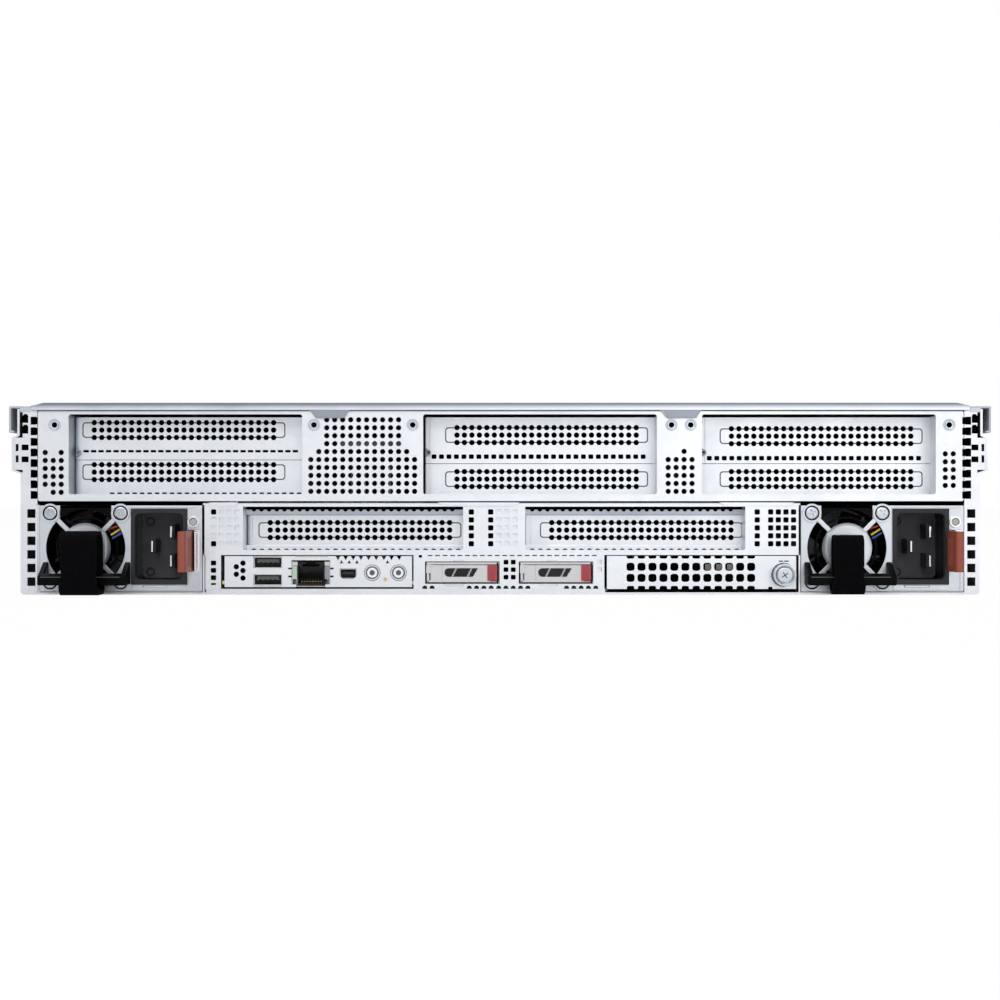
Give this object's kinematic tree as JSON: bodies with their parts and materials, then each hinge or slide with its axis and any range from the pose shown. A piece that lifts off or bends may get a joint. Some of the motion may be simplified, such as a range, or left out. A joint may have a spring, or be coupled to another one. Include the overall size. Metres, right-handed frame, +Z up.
{
  "type": "2u rack server",
  "caption": "Rack-mount server with rear card windows, twin plug-in power supplies, boot-drive carriers, network card, cooling fans and front drive carriers.",
  "frame": {"origin": "middle of the chassis underside, halfway between the rear plane and the front plane", "axes": "+Z up, +Y towards the drive end (front), -Y towards the port end (rear), +X to the right seen from the rear"},
  "size_m": [0.4826, 0.7654, 0.0868],
  "materials": {
    "zinc_steel": "galvanised sheet, satin",
    "light_plastic": "light grey moulded plastic",
    "black_plastic": "fine moulded texture",
    "drive_lever_grey": "dark grey moulded plastic",
    "charcoal_plastic": "spark-eroded texture",
    "black_webbing": "hook-and-loop pile",
    "terracotta_plastic": "smooth moulded plastic",
    "red_plastic": "smooth moulded plastic",
    "circuit_board": "solder mask",
    "fin_aluminium": "bare fins",
    "port_shell": "plated shell"
  },
  "bodies": {
    "chassis": {"chassis_tray": "zinc_steel", "rear_wall": "zinc_steel", "lower_rear_frame": "zinc_steel", "riser_cages": "zinc_steel", "riser_boards": "circuit_board", "full_height_blanks": "zinc_steel", "low_profile_blanks": "zinc_steel", "io_panel": "zinc_steel", "io_ports": "port_shell", "boot_bay_panel": "zinc_steel", "mainboard": "circuit_board", "processor_heatsinks": "fin_aluminium", "memory_modules": "circuit_board", "air_shroud": "black_plastic", "fan_cage": "black_plastic", "drive_cage": "zinc_steel", "backplane": "circuit_board", "drive_blanks": "black_plastic", "rack_ear_left": "zinc_steel", "rack_ear_right": "zinc_steel"},
    "cover": {"top_cover": "zinc_steel"},
    "cover_lever": {"cover_latch": "black_plastic"},
    "psu_left": {"psu_case_left": "zinc_steel", "psu_fan_frame_left": "black_plastic", "psu_inlet_left": "charcoal_plastic", "psu_handle_left": "black_plastic", "psu_strap_left": "black_webbing"},
    "psu_latch_arm_left": {"psu_latch_left": "terracotta_plastic"},
    "psu_rotor_left": {"psu_fan_rotor_left": "black_plastic"},
    "psu_right": {"psu_case_right": "zinc_steel", "psu_fan_frame_right": "black_plastic", "psu_inlet_right": "charcoal_plastic", "psu_handle_right": "black_plastic", "psu_strap_right": "black_webbing"},
    "psu_latch_arm_right": {"psu_latch_right": "terracotta_plastic"},
    "psu_rotor_right": {"psu_fan_rotor_right": "black_plastic"},
    "boot_drive_1": {"boot_carrier_1": "zinc_steel"},
    "boot_handle_1": {"boot_lever_1": "light_plastic"},
    "boot_button_1": {"boot_release_1": "red_plastic"},
    "boot_drive_2": {"boot_carrier_2": "zinc_steel"},
    "boot_handle_2": {"boot_lever_2": "light_plastic"},
    "boot_button_2": {"boot_release_2": "red_plastic"},
    "id_key": {"id_button": "light_plastic"},
    "reset_key": {"reset_button": "light_plastic"},
    "network_card": {"network_panel": "zinc_steel", "network_board": "circuit_board"},
    "thumbscrew": {"network_screw": "zinc_steel"},
    "fan_wheel_1": {"fan_rotor_1": "black_plastic"},
    "fan_wheel_2": {"fan_rotor_2": "black_plastic"},
    "fan_wheel_3": {"fan_rotor_3": "black_plastic"},
    "fan_wheel_4": {"fan_rotor_4": "black_plastic"},
    "drive_1": {"drive_carrier_1": "black_plastic"},
    "drive_handle_1": {"drive_lever_1": "drive_lever_grey"},
    "drive_2": {"drive_carrier_2": "black_plastic"},
    "drive_handle_2": {"drive_lever_2": "drive_lever_grey"},
    "drive_3": {"drive_carrier_3": "black_plastic"},
    "drive_handle_3": {"drive_lever_3": "drive_lever_grey"},
    "drive_4": {"drive_carrier_4": "black_plastic"},
    "drive_handle_4": {"drive_lever_4": "drive_lever_grey"},
    "power_key": {"power_button": "light_plastic"}
  },
  "joints": [
    {"name": "cover_lift", "type": "slide", "parent": "chassis", "child": "cover", "axis": [0, 0, 1], "range_m": [0, 0.15]},
    {"name": "cover_latch_turn", "type": "hinge", "parent": "cover", "child": "cover_lever", "pos_m": [0, -0.062, 0.0844], "axis": [1, 0, 0], "range_deg": [0, 75]},
    {"name": "psu_left_slide", "type": "slide", "parent": "chassis", "child": "psu_left", "axis": [0, -1, 0], "range_m": [0, 0.19]},
    {"name": "psu_left_latch_press", "type": "hinge", "parent": "psu_left", "child": "psu_latch_arm_left", "pos_m": [-0.1397, -0.362, 0.0108], "axis": [0, 0, -1], "range_deg": [0, 5], "stiffness_Nm_per_rad": 0.4},
    {"name": "psu_left_fan_spin", "type": "hinge", "parent": "psu_left", "child": "psu_rotor_left", "pos_m": [-0.1875, -0.358, 0.0211], "axis": [0, 1, 0], "continuous": true},
    {"name": "psu_right_slide", "type": "slide", "parent": "chassis", "child": "psu_right", "axis": [0, -1, 0], "range_m": [0, 0.19]},
    {"name": "psu_right_latch_press", "type": "hinge", "parent": "psu_right", "child": "psu_latch_arm_right", "pos_m": [0.2048, -0.362, 0.0108], "axis": [0, 0, -1], "range_deg": [0, 5], "stiffness_Nm_per_rad": 0.4},
    {"name": "psu_right_fan_spin", "type": "hinge", "parent": "psu_right", "child": "psu_rotor_right", "pos_m": [0.157, -0.358, 0.0211], "axis": [0, 1, 0], "continuous": true},
    {"name": "boot_drive_1_slide", "type": "slide", "parent": "chassis", "child": "boot_drive_1", "axis": [0, -1, 0], "range_m": [0, 0.09]},
    {"name": "boot_lever_1_swing", "type": "hinge", "parent": "boot_drive_1", "child": "boot_handle_1", "pos_m": [-0.0305, -0.3675, 0.0097], "axis": [0, 0, -1], "range_deg": [0, 60]},
    {"name": "boot_release_1_press", "type": "slide", "parent": "boot_handle_1", "child": "boot_button_1", "axis": [-1, 0, 0], "range_m": [0, 0.0015], "stiffness_N_per_m": 200},
    {"name": "boot_drive_2_slide", "type": "slide", "parent": "chassis", "child": "boot_drive_2", "axis": [0, -1, 0], "range_m": [0, 0.09]},
    {"name": "boot_lever_2_swing", "type": "hinge", "parent": "boot_drive_2", "child": "boot_handle_2", "pos_m": [0.0119, -0.3675, 0.0097], "axis": [0, 0, -1], "range_deg": [0, 60]},
    {"name": "boot_release_2_press", "type": "slide", "parent": "boot_handle_2", "child": "boot_button_2", "axis": [-1, 0, 0], "range_m": [0, 0.0015], "stiffness_N_per_m": 200},
    {"name": "id_button_press", "type": "slide", "parent": "chassis", "child": "id_key", "axis": [0, 1, 0], "range_m": [0, 0.001], "stiffness_N_per_m": 300},
    {"name": "reset_button_press", "type": "slide", "parent": "chassis", "child": "reset_key", "axis": [0, 1, 0], "range_m": [0, 0.001], "stiffness_N_per_m": 300},
    {"name": "network_card_slide", "type": "slide", "parent": "chassis", "child": "network_card", "axis": [0, -1, 0], "range_m": [0, 0.115]},
    {"name": "thumbscrew_turn", "type": "hinge", "parent": "network_card", "child": "thumbscrew", "pos_m": [0.1281, -0.368, 0.009], "axis": [0, 1, 0], "continuous": true},
    {"name": "fan_1_spin", "type": "hinge", "parent": "chassis", "child": "fan_wheel_1", "pos_m": [-0.156, 0.133, 0.0405], "axis": [0, 1, 0], "continuous": true},
    {"name": "fan_2_spin", "type": "hinge", "parent": "chassis", "child": "fan_wheel_2", "pos_m": [-0.052, 0.133, 0.0405], "axis": [0, 1, 0], "continuous": true},
    {"name": "fan_3_spin", "type": "hinge", "parent": "chassis", "child": "fan_wheel_3", "pos_m": [0.052, 0.133, 0.0405], "axis": [0, 1, 0], "continuous": true},
    {"name": "fan_4_spin", "type": "hinge", "parent": "chassis", "child": "fan_wheel_4", "pos_m": [0.156, 0.133, 0.0405], "axis": [0, 1, 0], "continuous": true},
    {"name": "drive_1_slide", "type": "slide", "parent": "chassis", "child": "drive_1", "axis": [0, 1, 0], "range_m": [0, 0.15]},
    {"name": "drive_1_lever_swing", "type": "hinge", "parent": "drive_1", "child": "drive_handle_1", "pos_m": [-0.0651, 0.3722, 0.0099], "axis": [-1, 0, 0], "range_deg": [0, 50]},
    {"name": "drive_2_slide", "type": "slide", "parent": "chassis", "child": "drive_2", "axis": [0, 1, 0], "range_m": [0, 0.15]},
    {"name": "drive_2_lever_swing", "type": "hinge", "parent": "drive_2", "child": "drive_handle_2", "pos_m": [-0.0465, 0.3722, 0.0099], "axis": [-1, 0, 0], "range_deg": [0, 50]},
    {"name": "drive_3_slide", "type": "slide", "parent": "chassis", "child": "drive_3", "axis": [0, 1, 0], "range_m": [0, 0.15]},
    {"name": "drive_3_lever_swing", "type": "hinge", "parent": "drive_3", "child": "drive_handle_3", "pos_m": [-0.0279, 0.3722, 0.0099], "axis": [-1, 0, 0], "range_deg": [0, 50]},
    {"name": "drive_4_slide", "type": "slide", "parent": "chassis", "child": "drive_4", "axis": [0, 1, 0], "range_m": [0, 0.15]},
    {"name": "drive_4_lever_swing", "type": "hinge", "parent": "drive_4", "child": "drive_handle_4", "pos_m": [-0.0093, 0.3722, 0.0099], "axis": [-1, 0, 0], "range_deg": [0, 50]},
    {"name": "power_button_press", "type": "slide", "parent": "chassis", "child": "power_key", "axis": [0, -1, 0], "range_m": [0, 0.0012], "stiffness_N_per_m": 400}
  ]
}
